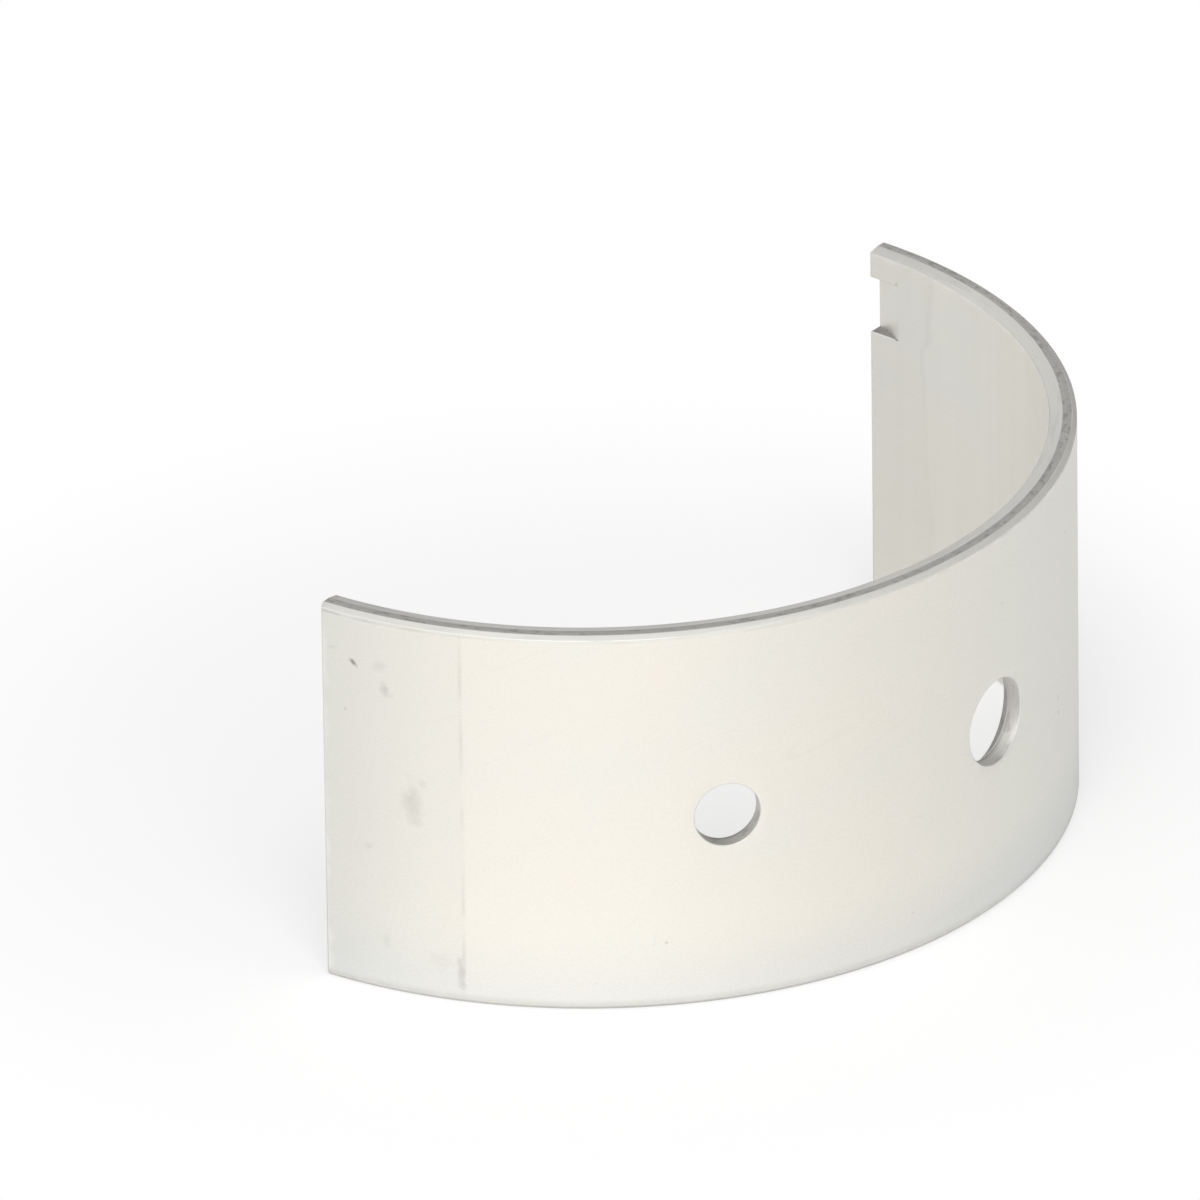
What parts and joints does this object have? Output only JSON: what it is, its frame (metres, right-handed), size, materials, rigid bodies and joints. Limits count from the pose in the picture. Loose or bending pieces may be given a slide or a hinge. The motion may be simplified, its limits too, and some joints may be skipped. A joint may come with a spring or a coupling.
{
  "type": "engine bearing shell",
  "caption": "Thin half-round metal shell that lines an engine housing and runs on a crankshaft journal, with radial oil holes and a pressed locating lug.",
  "frame": {"origin": "on the bearing axis at mid-width", "axes": "+Z along the bearing axis, up as the shell stands on a side face; the crown of the back faces -Y and the ends lie at -X and +X, with the locating lug at the +X end"},
  "size_m": [0.0884, 0.042, 0.0374],
  "materials": {
    "shell_metal": "satin pale metal, warm grey on the back and bore, rougher and darker on the side faces"
  },
  "bodies": {
    "root": {"bearing_shell": "shell_metal"}
  },
  "joints": []
}
